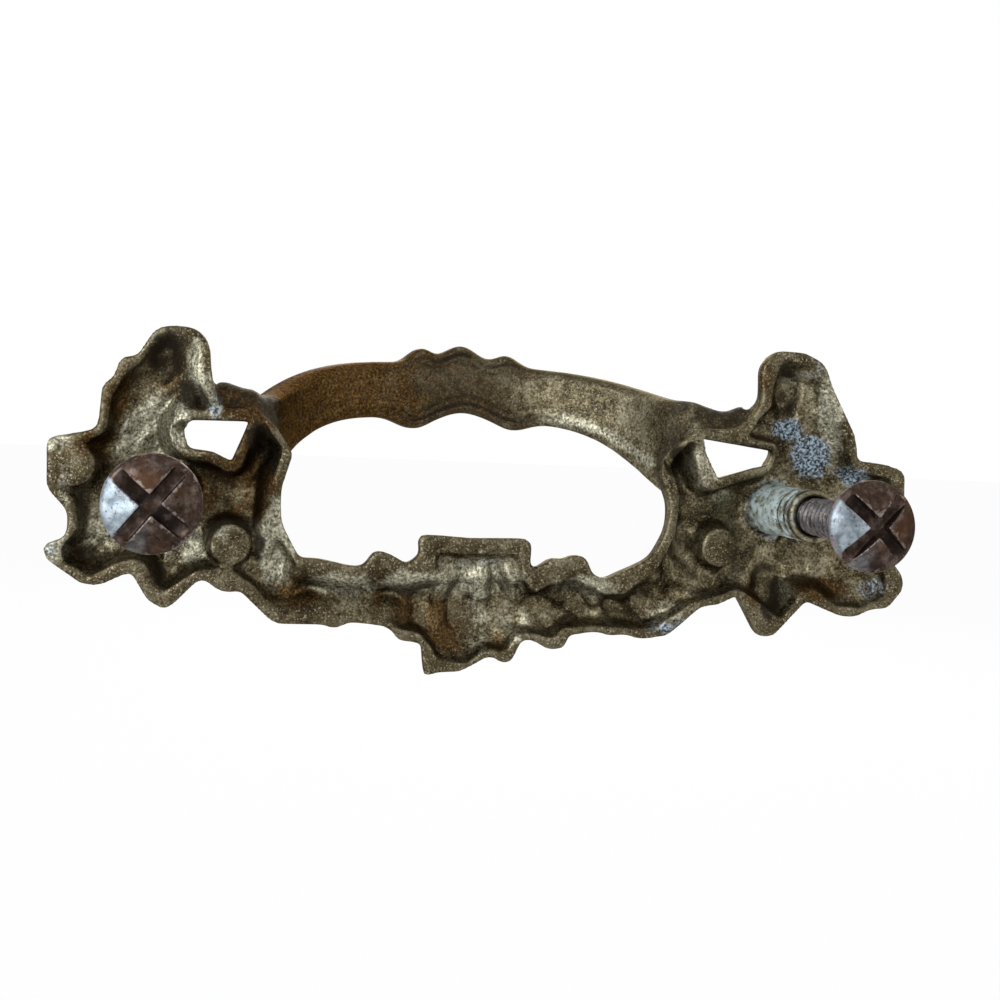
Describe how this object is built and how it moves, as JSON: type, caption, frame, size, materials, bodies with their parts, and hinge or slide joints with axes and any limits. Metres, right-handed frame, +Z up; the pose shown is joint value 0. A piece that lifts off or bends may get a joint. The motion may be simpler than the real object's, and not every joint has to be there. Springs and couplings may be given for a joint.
{
  "type": "drawer pull",
  "caption": "Ornate cast brass drawer pull with an arched handle, hollow back, screw posts and truss head screws.",
  "frame": {"origin": "midway between the two screws, in the plane of the flat back rim that lies against the drawer front", "axes": "+X across the width, to the left end as the back is seen; +Y out of the back, towards the drawer front; +Z up"},
  "size_m": [0.0971, 0.0394, 0.0379],
  "materials": {
    "aged_brass": "aged cast, speckled grey-green over brown",
    "tarnished_steel": "tarnished with rust in the slots"
  },
  "bodies": {
    "root": {"pull_casting": "aged_brass", "left_screw": "tarnished_steel", "right_screw": "tarnished_steel"}
  },
  "joints": []
}
